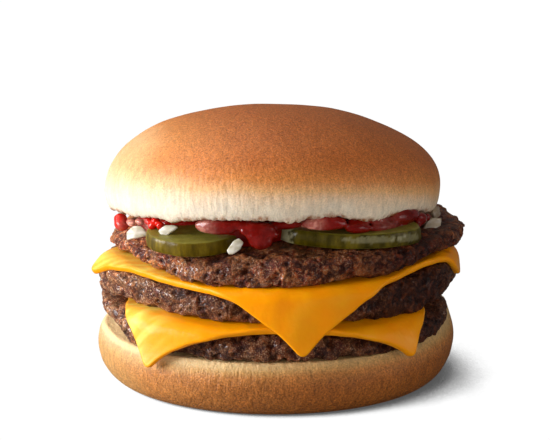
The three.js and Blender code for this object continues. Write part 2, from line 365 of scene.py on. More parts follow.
def bumped(tree, height, distance, strength=1.0, under=None):
    inputs = {"Height": height, "Distance": distance * MM, "Strength": strength}
    if under is not None:
        inputs["Normal"] = under
    return add(tree, "Bump", inputs).outputs["Normal"]


# %% [markdown]
# ## Bun crust
# A soft bun bakes brown where the oven's heat reaches it, stays cream near the cut, and toasts again along
# the cut. The mesh carries how brown, how toasted and how pale each place is as attributes, and the
# browning also holds painted light: on the left flank of both buns it is lowered, a painted highlight where
# the key light falls. The finish turns them into colour. Pores and fine vertical fibres are too small to
# model, so they are bump: the fibres are the same grain, squeezed along z so that it runs up the side.

# %% The bun finish
def bun_finish(name, stops, toasted, grain_size, grain_strength, relief):
    material, tree, shader = new_finish(name, IOR=1.42, Specular_IOR_Level=0.6, Subsurface_Weight=0.08,
                                        Subsurface_Scale=0.003, Subsurface_Radius=(1.0, 0.5, 0.25))
    patches, grain = mottle(tree, 9.0, grain_size)
    pores, fibres = mottle(tree, 1.3, 0.45, 0.3)
    streaks, threads = mottle(tree, 1.2, 0.7, 0.12)
    # the browning also holds painted light: it is lower on the left flanks, a painted highlight from the key
    # light
    browning = math_node(tree, "ADD", attribute(tree, "bake"), round_zero(tree, patches, 0.2))
    browning = math_node(tree, "ADD", browning, round_zero(tree, fibres, 0.11), clamp=True)
    crust = ramp(tree, browning, stops)
    grainy = round_zero(tree, grain, spread(tree, browning, 0.25, 1.0))
    crust = shaded(tree, crust, math_node(tree, "ADD", grainy, 0.5), grain_strength)
    crust = shaded(tree, crust, pores, 0.3 * grain_strength)
    crust = shaded(tree, crust, threads, 0.05)
    # painted light, partly pale cut crumb: the top of the left flank is painted lighter against the shade
    crust = blended(tree, attribute(tree, "pale"), crust, colour(250, 212, 150))
    broken = spread(tree, streaks, 0.15, 1.0, 0.38, 0.58)
    toast = math_node(tree, "MULTIPLY", attribute(tree, "toast"), broken)
    skin = bumped(tree, pores, 0.6, relief)
    crust = blended(tree, toast, crust, toasted)
    link_to(shader, Base_Color=crust, Roughness=spread(tree, browning, 0.66, 0.5),
            Normal=bumped(tree, grain, 0.25, relief, skin))
    return material


top_bun_finish = bun_finish(
    "bun_top_finish",
    [(0.0, (234, 215, 188)), (0.2, (234, 200, 162)), (0.42, (228, 170, 112)), (0.68, (210, 129, 60)),
     (1.0, (190, 103, 43))], colour(160, 92, 42), 0.42, 0.52, 0.45)
bottom_bun_finish = bun_finish(
    "bun_bottom_finish",
    [(0.0, (216, 182, 136)), (0.15, (204, 164, 108)), (0.3, (200, 150, 86)), (0.55, (188, 120, 56)),
     (1.0, (164, 93, 34))], colour(206, 160, 104), 0.5, 0.72, 0.8)

# %% [markdown]
# ## The top bun
# The dome is a quarter of a superellipse, a little squarer than a circle, over a side that tucks in
# towards the cut. The pickles prop it up at the front, so it leans back, and its soft rim waves up and
# down by a millimetre. Only the lowest edge is torn, so the tearing fades out a millimetre or two above
# the cut. Each vertex also remembers how brown it is: most on the right, and least on the left flank,
# where the crust is painted paler as a painted highlight from the key light.

# %% Shape the top bun
TOP_BUN = {"rim": 47.2, "radius": 49.6, "waist": 7.7, "dome": 22.1, "power": 2.06, "shift": 1.0}
SEAT = {"x": -0.9, "z": 50.0, "lean": math.radians(5.5), "bend": 0.85}
RIM_LIFTS = [(-1.27, 0.2, 0.7), (-0.76, 0.07, 0.4), (-0.6, 0.12, -0.8), (0.1, 0.07, -0.8), (0.36, 0.12, 1.0),
             (0.62, 0.12, -0.9), (0.92, 0.2, 1.0), (1.12, 0.1, 0.9)]
TOP_UNEVEN = [(2, 0.25, 1.2), (3, 0.3, 0.5), (5, 0.15, 2.2)]
TOP_FLAT = [(-1.5, 0.7, 0.9)]
# where the top bun's left flank is painted paler: a painted highlight from the key light
TOP_PALE = [(-1.4, 0.85, 0.6)]
TOP_BROWN = [(1.3, 0.5, 4.0)]
TOP_SOFTNESS = [(19, 0.3), (6, 0.07)]
BUN_STEPS = 600


def seat_height(x, y):
    bend = SEAT["bend"] * (y * y - x * x) / TOP_BUN["rim"] ** 2
    return SEAT["z"] - math.tan(SEAT["lean"]) * y + bend


def torn_edge(bearing, radius, seed):
    place = Vector((radius * math.sin(bearing), radius * math.cos(bearing), seed))
    coarse = noise.noise(place * 0.35)
    fine = noise.noise(place * 1.6)
    shreds = max(0.0, noise.noise(place * 1.1 + Vector((9, 0, 0))) - 0.2)
    return 0.35 * coarse + 0.35 * fine - 0.7 * shreds


def top_bun_mesh():
    rim, radius, waist, dome, power, shift = TOP_BUN.values()
    under = [(rim * share, 0.0) for share in (0, 0.2, 0.4, 0.55, 0.68, 0.78, 0.85, 0.9, 0.94, 0.97, 0.985)]
    side = [(rim + (radius - rim) * out, waist * (1 + up)) for out, up in arc(-math.pi / 2, 0, 26)]
    cap = [(radius * out, waist + dome * up) for out, up in arc(0, math.pi / 2, 62, power)]
    cap[-1] = (0.0, cap[-1][1])
    mesh = spun(under + side + cap[1:], BUN_STEPS)
    bake, toast = float_layers(mesh, "bake", "toast")
    lean = Matrix.Rotation(-SEAT["lean"], 3, "X")
    for vertex, across, bearing, up in ring_vertices(mesh):
        x, y = around(across * (1 + wave(bearing, TOP_UNEVEN) / radius), bearing)
        place = Vector((x, y, up))
        soft = ripples(place, TOP_SOFTNESS)
        near_edge = smooth(rim * 0.86, rim * 0.99, across) if up < waist else 0.0
        near_cut = near_edge * (1 - smooth(0.0, 1.5, up))
        wavy = near_edge * (1 - smooth(0.0, waist, up)) * bumps_at(bearing, RIM_LIFTS)
        crumb = 0.25 * noise.noise(place * 0.9) * (1 - smooth(0.0, 0.4, up))
        x, y = around(math.hypot(x, y) + soft * smooth(0, 20, across), bearing)
        x -= shift * smooth(14, 28, up)
        x += smooth(4, 12, up) * (1 - smooth(22, 29, up)) * bumps_at(bearing, TOP_FLAT)
        z = up + soft * smooth(waist, 25, up) + wavy + near_cut * torn_edge(bearing, rim, 3.0) + crumb
        z += SEAT["bend"] * (y * y - x * x) / rim ** 2
        # painted highlight: the left flank's crust is painted paler where the key light falls
        paler = 1 - bumps_at(bearing, TOP_PALE) * (1 - smooth(20, 31, up))
        vertex[bake] = smooth(1.5 - bumps_at(bearing, TOP_BROWN), 16.0, up) * paler
        toasted = 1 - smooth(0.3, 1.5 + noise.noise(place / 1.4), up)
        vertex[toast] = toasted * near_edge * smooth(-0.35, 0.25, noise.noise(place / 3.5))
        vertex.co = lean @ Vector((x, y, z)) + Vector((SEAT["x"], 0.0, SEAT["z"]))
    return mesh


make_piece("top_bun", top_bun_mesh(), top_bun_finish, "bun", "bun_top")

# %% [markdown]
# ## The bottom bun
# The lower half stands on a flat base. Its side bulges past it, and the cut at the top is torn like the
# one above. The heat came from below, so it browns towards the base, and the upper rim stays pale. The
# left flank is flatter, lower, and not torn at all. Its crust is painted less brown there, a painted
# highlight where the key light falls, and the top of that flank is painted pale, partly pale cut crumb and
# partly painted light against the shade under the patty.

# %% Shape the bottom bun
BOTTOM_BUN = {"base": 45.0, "bulge": 7.9, "waist": 10.2, "rise": 9.5, "rim_angle": 0.733}
BOTTOM_UNEVEN = [(2, 0.3, 0.4), (3, 0.3, 1.9), (5, 0.15, 0.7)]
BOTTOM_SWELL = [(1.5, 0.5, 0.5)]
BOTTOM_WAIST_LIFT = [(-1.5, 0.6, 1.0), (1.5, 0.6, 1.8)]
BOTTOM_RIM_LIFT = [(1.5, 0.5, 2.1), (1.75, 0.25, 3.2)]
BOTTOM_RIM_DROP = [(-1.45, 0.5, 1.9)]
# the left flank: not torn, painted less brown as a painted highlight, and its top painted pale
BOTTOM_FLANK = [(-1.35, 0.95, 1.0)]
BOTTOM_SOFTNESS = [(15, 0.4), (5, 0.15)]


def bottom_bun_mesh():
    base, bulge, waist, rise, rim_angle = BOTTOM_BUN.values()
    foot = [(base * share, 0.0) for share in (0, 0.3, 0.6, 0.8, 0.9, 0.96)]
    low = [(base + bulge * out, waist * (1 + up)) for out, up in arc(-math.pi / 2, 0, 36)]
    high = [(base + bulge * out, waist + rise * up) for out, up in arc(0, rim_angle, 24)]
    rim = high[-1][0]
    top = [(rim * share, BOTTOM_BUN_HEIGHT)
           for share in (0.985, 0.97, 0.94, 0.9, 0.84, 0.76, 0.6, 0.4, 0.2, 0)]
    mesh = spun(foot + low + high[1:] + top, BUN_STEPS)
    bake, toast, pale = float_layers(mesh, "bake", "toast", "pale")
    for vertex, across, bearing, up in ring_vertices(mesh):
        share = up / BOTTOM_BUN_HEIGHT
        uneven = wave(bearing, BOTTOM_UNEVEN) + bumps_at(bearing, BOTTOM_SWELL)
        x, y = around(across + across / base * share * uneven, bearing)
        place = Vector((x, y, up + 40))
        soft = ripples(place, BOTTOM_SOFTNESS) * smooth(0.3, 4, up) * smooth(10, 40, across)
        x, y = around(math.hypot(x, y) + soft, bearing)
        near_top = smooth(BOTTOM_BUN_HEIGHT - 1.6, BOTTOM_BUN_HEIGHT, up)
        flank = bumps_at(bearing, BOTTOM_FLANK)
        torn = smooth(rim * 0.93, rim * 0.995, across) * near_top * (1 - flank)
        z = up - (BOTTOM_BUN_HEIGHT - height_at(bottom_bun_top, x, y)) * share**4
        z += math.sin(math.pi * share) * bumps_at(bearing, BOTTOM_WAIST_LIFT)
        z += share**6 * smooth(46, 50, across) * bumps_at(bearing, BOTTOM_RIM_LIFT)
        z -= share**6 * smooth(42, 50, across) * bumps_at(bearing, BOTTOM_RIM_DROP)
        z += 0.45 * torn * torn_edge(bearing, rim, 7.0)
        if share > 0.999:
            z += 0.12 * noise.noise(place * 0.9)
        # painted highlight: the left flank is painted less brown where the key light falls
        vertex[bake] = 0.15 * (1 - flank) + 0.85 * (1 - smooth(9.0, 17.0, up)) * (1 - 0.58 * flank)
        vertex[toast] = 0.35 * torn if across < rim else 0.0
        # the top of the left flank, painted pale: partly cut crumb, partly painted light against the shade
        vertex[pale] = 0.85 * flank * smooth(0.84, 0.93, share)
        vertex.co = (x, y, z)
    return mesh


make_piece("bottom_bun", bottom_bun_mesh(), bottom_bun_finish, "bun", "bun_bottom")

# %% [markdown]
# ## Processed cheese
# A warm slice is a soft, even sheet. It is satin and lets a little light in. It is palest where its
# corners are stretched, partly from stretching and partly a painted highlight where the key light falls
# on the left corners. Nothing on it is rough, so its finish is mostly one strong yellow-orange with slow,
# faint patches, and the gentle bump of a film that has melted and set.

# %% The cheese finish
def cheese_finish(name):
    material, tree, shader = new_finish(name, IOR=1.45, Specular_IOR_Level=0.16, Subsurface_Weight=0.15,
                                        Subsurface_Scale=0.0015, Coat_Roughness=0.18,
                                        Subsurface_Radius=(1.0, 0.4, 0.05))
    patches, grain = mottle(tree, 7.0, 1.6)
    paint = ramp(tree, patches, [(0.3, (255, 148, 0)), (0.7, (255, 162, 0))])
    # pale streaks: partly stretched cheese, partly a painted highlight on the left corners from the key light
    paint = blended(tree, attribute(tree, "stretched"), paint, colour(255, 220, 100))
    paint = blended(tree, attribute(tree, "cut_side"), paint, colour(255, 158, 10))
    slow = bumped(tree, patches, 0.7, 0.7)
    link_to(shader, Base_Color=paint, Roughness=spread(tree, grain, 0.26, 0.44),
            Coat_Weight=spread(tree, patches, 0.0, 0.2, 0.45, 0.62),
            Normal=bumped(tree, grain, 0.1, 0.5, slow))
    return material


cheese = cheese_finish("cheese_finish")

# %% [markdown]
# ## A slice that folds over the patty's edge
# Each slice starts as a flat grid, gets its thickness by extruding, and its cut sides are bevelled soft.
# Cloth simulation could drape it, but melted cheese hardly swings: it lies down where it is held, bends in
# a small fold at the patty's rim and hangs straight. A formula does just that: the part of the slice past
# the rim runs round a fold and then down. Warmth pulls the corners out, so a corner is rounded and pinched
# before the slice is laid down, and fine pale streaks are painted where it is strained, which on the left
# corners is also a painted highlight from the key light.

# %% Lay the slices down
SLICE_CELLS = 88
SLICE_BEVEL = 0.62
CORNER_ROUNDNESS = 3.4
PINCH_LENGTH = 8.5
# bearings of the painted pale streaks: stretched corners, and on the left a painted highlight from the key
# light
STRAINED = [(-1.3, 0.28, 0.75), (-0.86, 0.2, 1.0), (2.0, 0.3, 0.7)]


def pinched(x, y, half, pinch):
    """Rounds the corners of the flat slice and draws them out to soft tips."""
    from_x = half - abs(x)
    from_y = half - abs(y)
    if from_x < CORNER_ROUNDNESS and from_y < CORNER_ROUNDNESS:
        inner_x, inner_y = CORNER_ROUNDNESS - from_x, CORNER_ROUNDNESS - from_y
        shrink = max(inner_x, inner_y) / (math.hypot(inner_x, inner_y) or 1.0)
        from_x, from_y = CORNER_ROUNDNESS - inner_x * shrink, CORNER_ROUNDNESS - inner_y * shrink
    along = (from_x + from_y) / math.sqrt(2)
    off = (from_x - from_y) / math.sqrt(2)
    off *= 1 - pinch * math.exp(-((along / PINCH_LENGTH) ** 2))
    from_x, from_y = (along + off) / math.sqrt(2), (along - off) / math.sqrt(2)
    return math.copysign(half - from_x, x), math.copysign(half - from_y, y)


def fold_at(bearing, folds):
    """The fold at a bearing: a blend of the corners' folds, each counting most near its own bearing."""
    weights = [max(0.0, math.cos(bearing - fold[0])) ** 6 for fold in folds]
    total = sum(weights)
    return [sum(fold[part] * weight for fold, weight in zip(folds, weights)) / total for part in (1, 2, 3)]


def draped(flat_x, flat_y, lift, middle, folds):
    """Where a point of the flat slice comes to lie, `lift` above the slice's middle surface."""
    reach = math.hypot(flat_x, flat_y)
    bearing = math.atan2(flat_x, -flat_y)
    start, radius, steepest = fold_at(bearing, folds)
    over = reach - start
    if over <= 0:
        return flat_x, flat_y, height_at(middle, flat_x, flat_y) + lift
    start_z = height_at(middle, *around(start, bearing))
    first = math.atan(height_at(middle, *around(start - 1, bearing)) - start_z)
    bend_length = radius * (steepest - first)
    angle = first + over / radius if over < bend_length else steepest
    straight = max(0.0, over - bend_length)
    bent = radius * (math.sin(angle) - math.sin(first))
    out = bent + straight * math.cos(angle) + lift * math.sin(angle)
    down = radius * (math.cos(first) - math.cos(angle)) + straight * math.sin(angle)
    off = min((turned(bearing - fold[0]) for fold in folds), key=abs)
    widened = off * (reach / (start + out) - 1) * math.cos(2 * off) ** 2
    x, y = around(start + out, bearing + widened)
    return x, y, start_z - down + lift * math.cos(angle)


def slab(half):
    """A square of cheese with bevelled cut sides."""
    mesh = bmesh.new()
    bmesh.ops.create_grid(mesh, x_segments=SLICE_CELLS, y_segments=SLICE_CELLS, size=half)
    skin = bmesh.ops.extrude_face_region(mesh, geom=mesh.faces[:])
    lifted = [item for item in skin["geom"] if isinstance(item, bmesh.types.BMVert)]
    bmesh.ops.translate(mesh, verts=lifted, vec=(0, 0, SLICE_THICKNESS))
    bmesh.ops.translate(mesh, verts=mesh.verts, vec=(0, 0, -SLICE_THICKNESS / 2))
    bmesh.ops.recalc_face_normals(mesh, faces=mesh.faces)
    sides = [face for face in mesh.faces if abs(face.normal.z) < 0.5]
    rims = {edge for face in sides for edge in face.edges
            if abs(edge.verts[0].co.z - edge.verts[1].co.z) < TINY}
    bmesh.ops.bevel(mesh, geom=list(rims), offset=SLICE_BEVEL, offset_type="OFFSET", segments=2, profile=0.5,
                    affect="EDGES", material=-1)
    return mesh


def slice_mesh(middle, half, place, turn, pinch, seed, folds, pulls):
    mesh = slab(half)
    cut_side, stretched = float_layers(mesh, "cut_side", "stretched")
    rotation = Matrix.Rotation(math.radians(turn), 2)
    for vertex in mesh.verts:
        inset = min(half - abs(vertex.co.x), half - abs(vertex.co.y))
        vertex[cut_side] = 1 - smooth(0.0, 0.9, inset)
        x, y = pinched(vertex.co.x, vertex.co.y, half, pinch)
        edge_wave = 0.35 * noise.noise(Vector((x / 6, y / 6, seed))) * (1 - smooth(0, 6, inset))
        x, y = x * (1 + edge_wave / half), y * (1 + edge_wave / half)
        x, y = rotation @ Vector((x, y)) + Vector(place)
        for (centre_x, centre_y), pull, width in pulls:
            share = math.exp(-((x - centre_x) ** 2 + (y - centre_y) ** 2) / width**2)
            x, y = x + pull[0] * share, y + pull[1] * share
        vertex.co = draped(x, y, vertex.co.z, middle, folds)
    for vertex in mesh.verts:
        x, y, z = vertex.co
        reach, bearing = reach_and_bearing(vertex.co)
        past = smooth(44, 52, reach)
        streak = smooth(-0.25, 0.3, noise.noise(Vector((x / 9.0, (y + 0.4 * z) / 1.6, seed))))
        # pale streaks where strained, and on the left a painted highlight from the key light
        strain = bumps_at(bearing, STRAINED) * smooth(39, 46, reach)
        vertex[stretched] = min(1.0, strain * (0.3 + 0.7 * streak))
        swell = noise.noise(Vector((x, y, seed + z)) / 8.0)
        vertex.co += Vector((x, y, 0.0)).normalized() * 0.6 * past * swell
        vertex.co.z += 0.3 * past * noise.noise(Vector((vertex.co.x, vertex.co.y, seed)) / 4.5)
    return mesh


# A fold is the bearing of a corner, where its bend starts, the bend's radius and the steepest angle.
# A pull is a place, how far the cheese there is drawn aside, and how wide that reaches.
lower_slice = slice_mesh(
    raised(patty_tops[0], GAP + 1), 42.3, (-0.4, -8.5), 2.4, 0.42, 1.0,
    [(-0.7, 50.4, 3.5, 1.38), (0.74, 50.4, 3.5, 1.2), (2.36, 50.2, 4.0, 1.2), (-2.3, 50.2, 4.0, 1.2)],
    [((-43.0, -50.0), (-2.0, 0.6), 16.0), ((42.0, -51.0), (-0.5, 3.0), 20.0)])
upper_slice = slice_mesh(
    raised(patty_tops[1], GAP + 1), 41.3, (2.7, -11.5), 52, 0.3, 5.0,
    [(0.14, 49.8, 3.5, 1.42), (1.42, 50.2, 3.2, 1.5), (3.2, 50.0, 4.0, 0.9), (-1.5, 48.3, 6.0, 0.66)],
    [((60.0, -5.0), (-0.8, -7.0), 17.0)])
slice_trees = [BVHTree.FromBMesh(lower_slice), BVHTree.FromBMesh(upper_slice)]
for name, mesh, node in (("cheese_slice_lower", lower_slice, "cheese_lower"),
                         ("cheese_slice_upper", upper_slice, "cheese_upper")):
    softer = make_piece(name, mesh, cheese, "cheese", node).modifiers.new("soft_skin", "SUBSURF")
    softer.levels = softer.render_levels = 1

# %% [markdown]
# ## Seared beef
# A patty is minced meat pressed into a disc and seared. Its surface is a crowd of crumbs a millimetre or
# two across with dark creases between them, browned on the crumbs and wet with fat. Such relief has to be
# real geometry, because it makes the patty's outline. Voronoi cells are a good crumb: each one rises as
# a dome round its own point and falls to a crease where it meets the next. The finish gets three
# attributes: `crumb` paints shade into the creases and pits, `tone` gives each crumb its own brown, and the
# third marks the darker, drier sear, partly real char and partly painted shade on the right side and the
# back. Pale specks in the finish are partly fat and partly painted glints.

# %% The beef finish
def beef_finish(name, sears):
    material, tree, shader = new_finish(name, IOR=1.45, Specular_IOR_Level=0.36, Coat_Roughness=0.09)
    char = attribute(tree, "char")
    patches, grain = mottle(tree, 4.5, 0.33)
    fine_patches, glint = mottle(tree, 1.5, 0.42)
    sear = ramp(tree, patches, list(zip((0.38, 0.46, 0.54, 0.62), sears)))
    for value, strength in ((attribute(tree, "tone"), 0.16), (grain, 0.6), (fine_patches, 0.4)):
        sear = shaded(tree, sear, value, strength)
    # pale specks: partly fat, partly painted glints
    fat = spread(tree, glint, 0.0, 0.9, 0.54, 0.61)
    sear = blended(tree, fat, sear, colour(255, 212, 164))
    # darker where seared most: partly real char, partly painted shade on the right side and the back
    sear = blended(tree, char, sear, blended(tree, 1.0, sear, colour(122, 92, 72), "MULTIPLY"))
    # painted shade: the crumb attribute darkens the creases and pits
    depth = ramp(tree, attribute(tree, "crumb"),
                 [(0.0, (124, 90, 72)), (0.35, (222, 206, 194)), (0.8, (255, 255, 255))])
    wet = spread(tree, glint, 0.0, 1.0, 0.48, 0.56)
    wet = math_node(tree, "MULTIPLY", wet, spread(tree, char, 1.0, 0.25))
    fine = bumped(tree, grain, 0.45)
    link_to(shader, Base_Color=blended(tree, 1.0, sear, depth, "MULTIPLY"), Coat_Weight=wet,
            Roughness=spread(tree, grain, 0.34, 0.7, 0.3, 0.7), Normal=bumped(tree, glint, 0.6, 1.0, fine))
    return material


browned_beef = beef_finish(
    "beef_browned_finish", [(158, 66, 32), (200, 102, 46), (246, 158, 88), (182, 110, 54)])
greyer_beef = beef_finish(
    "beef_greyer_finish", [(128, 60, 34), (160, 90, 50), (200, 132, 82), (150, 98, 60)])

# %% [markdown]
# ## Three patties
# One function makes all three. The disc is spun from a flat top, a flat underside and a rounded edge, most
# of its rings being where it shows. Its edge swells, is tucked in underneath and sags a little, each at
# its own bearings. Then every vertex moves out by the crumb relief. Where a slice of cheese hangs over the
# meat, a ray from inside the patty finds the cheese, and the vertex stops just short of it, so that crumbs
# never poke through.

# %% Crumb relief
PATTY_STEPS = 1000
PATTY_EDGE = 0.08
PATTY_FOOT = 0.045
# where the sear is darker and drier: partly real char, partly painted shade on the right side and the back
CHARRED = [(0.8, 0.65, 1.0), (-0.05, 0.35, 0.3), (-0.45, 0.28, 0.6), (2.3, 0.9, 0.8)]
CLEARANCE = 0.14
CRUMB_SIZE = 1.15
SMALL_CRUMB_SIZE = 0.75
# height in mm, and lightness of the painted crease shade, that each part of the relief gives
DOME, SMALL, OWN = (0.26, 0.42), (0.22, 0.32), (0.25, 0.28)
LUMP, PIT, SWELL = (0.75, 0.4), (0.7, 0.45), (1.1, 0.0)


def crumb_relief(place):
    """How far the meat stands out at a place, how light its painted crease shade leaves it, and its crumb's
    own tone.
    """
    warped = place + noise.noise_vector(place * 0.45) * 0.8
    distances, centres = noise.voronoi(warped / CRUMB_SIZE)
    dome = 1 - min(1.0, 1.5 * distances[0] * distances[0])
    own = noise.cell(centres[0] * 17.3)
    small = 1 - min(1.0, 1.4 * noise.voronoi(warped / SMALL_CRUMB_SIZE + Vector((50, 0, 0)))[0][0])
    lump = noise.noise(place / 3.4)
    swell = noise.fractal(place / 9.0, 0.7, 2.1, 3)
    pit = smooth(0.3, 0.6, noise.noise(place / 2.2 + Vector((0, 0, 30))))
    crumbly = 0.35 + 0.65 * smooth(-0.25, 0.25, noise.noise(place / 5.0 + Vector((0, 70, 0))))
    out = crumbly * (DOME[0] * (dome - 0.6) + SMALL[0] * (small - 0.4) + OWN[0] * (own - 0.5))
    out += LUMP[0] * lump + SWELL[0] * swell - PIT[0] * pit
    shade = DOME[1] * dome + SMALL[1] * small + OWN[1] * own + LUMP[1] * lump - PIT[1] * pit
    return out, held(shade), own


def patty_mesh(layer, seed, centre, radius, undercut, uneven, bumps, tucks, sags):
    edge = [(1 - (PATTY_EDGE if side > 0 else PATTY_FOOT) * (1 - out), side)
            for out, side in arc(-math.pi / 2, math.pi / 2, 42, 2.3)]
    hidden = [0.0, 0.2, 0.38, 0.52, 0.63, 0.72, 0.78]
    shown = [0.8 + (0.2 - PATTY_EDGE) * ring / 20 for ring in range(20)]
    profile = [(share, -1.0) for share in hidden + [0.85]] + edge
    profile += [(share, 1.0) for share in reversed(hidden + shown)]
    mesh = spun(profile, PATTY_STEPS)
    crumb, tone, char = float_layers(mesh, "crumb", "tone", "char")
    for vertex, share, bearing, side in ring_vertices(mesh):
        underneath = (1 - side) / 2
        tuck = undercut + bumps_at(bearing, tucks)
        reach = share * (radius + wave(bearing, uneven) + bumps_at(bearing, bumps) - tuck * underneath)
        dx, dy = around(reach, bearing)
        x, y = centre[0] + dx, centre[1] + dy
        low, high = height_at(layer["bottom"], x, y), height_at(layer["top"], x, y)
        droop = bumps_at(bearing, sags) * smooth(0.85, 1.0, share) * underneath
        place = Vector((x, y, low + (1 + side) / 2 * (high - low) - droop))
        # partly real char, partly painted shade on the right side and the back
        vertex[char] = min(1.0, bumps_at(bearing, CHARRED))
        core = Vector((centre[0] + 0.93 * dx, centre[1] + 0.93 * dy, (low + high) / 2))
        out, vertex[crumb], vertex[tone] = crumb_relief(place + Vector((0, 0, seed)))
        outwards = place - core
        length = outwards.length + out * (0.2 + 0.8 * smooth(0.6, 0.95, share))
        outwards.normalize()
        for tree in slice_trees:
            hit = tree.ray_cast(core, outwards, length + CLEARANCE)
            if hit[0] is not None:
                length = min(length, hit[3] - CLEARANCE)
        vertex.co = core + outwards * length
    return mesh


# %% Make the patties
PATTIES = [
    ("beef_bottom", "patty_bottom", greyer_beef, {
        "centre": (-0.1, 0.4), "radius": 50.8, "undercut": -1.6,
        "uneven": [(2, -0.7, 0), (3, 0.4, 2.6), (5, 0.35, 1.1), (8, 0.3, 0.3)],
        "bumps": [(-1.5, 0.3, 1.5), (1.15, 0.35, 0.4), (1.65, 0.25, -1.5)],
        "tucks": [(-1.5, 0.33, 9.2), (1.4, 0.28, 2.0), (1.75, 0.25, 3.6)],
        "sags": [(0.0, 0.8, 0.3)]}),
    ("beef_middle", "patty_middle", greyer_beef, {
        "centre": (0.4, 0.4), "radius": 50.8, "undercut": 1.0,
        "uneven": [(2, -0.9, 0), (3, 0.35, 4.0), (6, 0.35, 2.2), (9, 0.3, 3.5)],
        "bumps": [(-1.15, 0.35, 1.5), (-1.5, 0.2, -0.2), (1.2, 0.35, 2.8), (1.6, 0.22, 1.3),
                  (-2.0, 0.35, -3.2)],
        "tucks": [(-2.0, 0.35, -2.5), (-1.55, 0.2, 1.2), (1.35, 0.3, 1.6), (1.6, 0.2, 0.8)],
        "sags": [(-1.12, 0.12, -1.2), (-0.25, 0.22, 0.8), (0.68, 0.28, 1.0), (1.1, 0.12, -0.9),
                 (1.45, 0.2, 1.0)]}),
    ("beef_top", "patty_top", browned_beef, {
        "centre": (3.5, 0.5), "radius": 50.9, "undercut": 0.0,
        "uneven": [(2, -1.0, 0), (4, 0.35, 2.0), (7, 0.35, 0.4), (10, 0.3, 5.0)],
        "bumps": [(-1.25, 0.25, -2.0), (-1.75, 0.3, -3.4), (-0.6, 0.35, 1.2), (0.0, 0.3, 0.4),
                  (1.55, 0.25, 0.4)],
        "tucks": [(-0.2, 0.4, -1.8), (-1.5, 0.3, -4.4), (-0.85, 0.13, 2.4), (1.05, 0.3, 1.2)],
        "sags": [(-1.05, 0.12, -0.8), (-0.47, 0.1, -0.7), (-0.22, 0.1, 1.4), (-0.04, 0.12, 1.2),
                 (0.52, 0.1, 0.6), (0.92, 0.18, -1.3)]}),
]
for index, (name, node, finish, shape) in enumerate(PATTIES):
    make_piece(name, patty_mesh(layers[index], 100.0 * index, **shape), finish, "beef", node)

# %% [markdown]
# ## Pickle slices
# A pickle slice is a disc of cucumber with a dark, bumpy skin round a paler, glassy flesh. The disc is
# spun with rounded edges and made slightly lobed. One attribute tells skin from flesh, another marks pale
# patches on the side, which are painted reflections of the wet skin. It is soaked in brine, so the finish
# is smooth and wet, with a clear coat. The two slices differ in how dark their skin is.

# %% The pickle finish
def pickle_finish(name, skins):
    material, tree, shader = new_finish(name, IOR=1.4, Subsurface_Weight=0.2, Subsurface_Scale=0.003,
                                        Subsurface_Radius=(0.8, 1.0, 0.3), Specular_IOR_Level=0.22,
                                        Coat_Roughness=0.2)
    patches, grain = mottle(tree, 3.6, 0.6)
    bands, stripes = mottle(tree, 2.6, 0.7, 0.2)
    flesh_paint = ramp(tree, patches, [(0.3, (118, 110, 38)), (0.7, (146, 136, 56))])
    skin_paint = shaded(tree, ramp(tree, bands, list(zip((0.32, 0.5, 0.68), skins))), stripes, 0.16)
    paint = blended(tree, attribute(tree, "skin"), flesh_paint, skin_paint)
    # painted reflections: pale patches on the wet side
    paint = blended(tree, attribute(tree, "milky"), paint, colour(150, 142, 106))
    broad = bumped(tree, bands, 0.5, 0.6)
    link_to(shader, Base_Color=shaded(tree, paint, grain, 0.15), Roughness=spread(tree, patches, 0.3, 0.6),
            Coat_Weight=spread(tree, bands, 0.05, 0.4, 0.4, 0.62),
            Normal=bumped(tree, stripes, 0.2, 0.6, broad))
    return material


paler_pickle = pickle_finish("pickle_paler_finish", [(72, 56, 0), (104, 82, 0), (134, 110, 6)])
darker_pickle = pickle_finish("pickle_darker_finish", [(46, 38, 0), (72, 60, 0), (100, 84, 4)])

# %% Make the pickle slices
PICKLE_STEPS = 320
PICKLE_EDGE = 0.05
# bearing, half width, height, half height and strength of each painted reflection on the side
MILKY_PLACES = [(-1.35, 0.42, 0.6, 1.0, 1.0), (0.35, 0.5, 0.62, 0.26, 0.5), (0.95, 0.35, 0.5, 0.3, 0.4)]


def milky_at(bearing, up, ragged, places):
    total = 0.0
    for at, width, level, tall, strength in places:
        inside = 1 - ((bearing - at) / width) ** 2 - ((up - level) / tall) ** 2 + 0.9 * ragged
        total += strength * smooth(0.0, 0.35, inside)
    return total


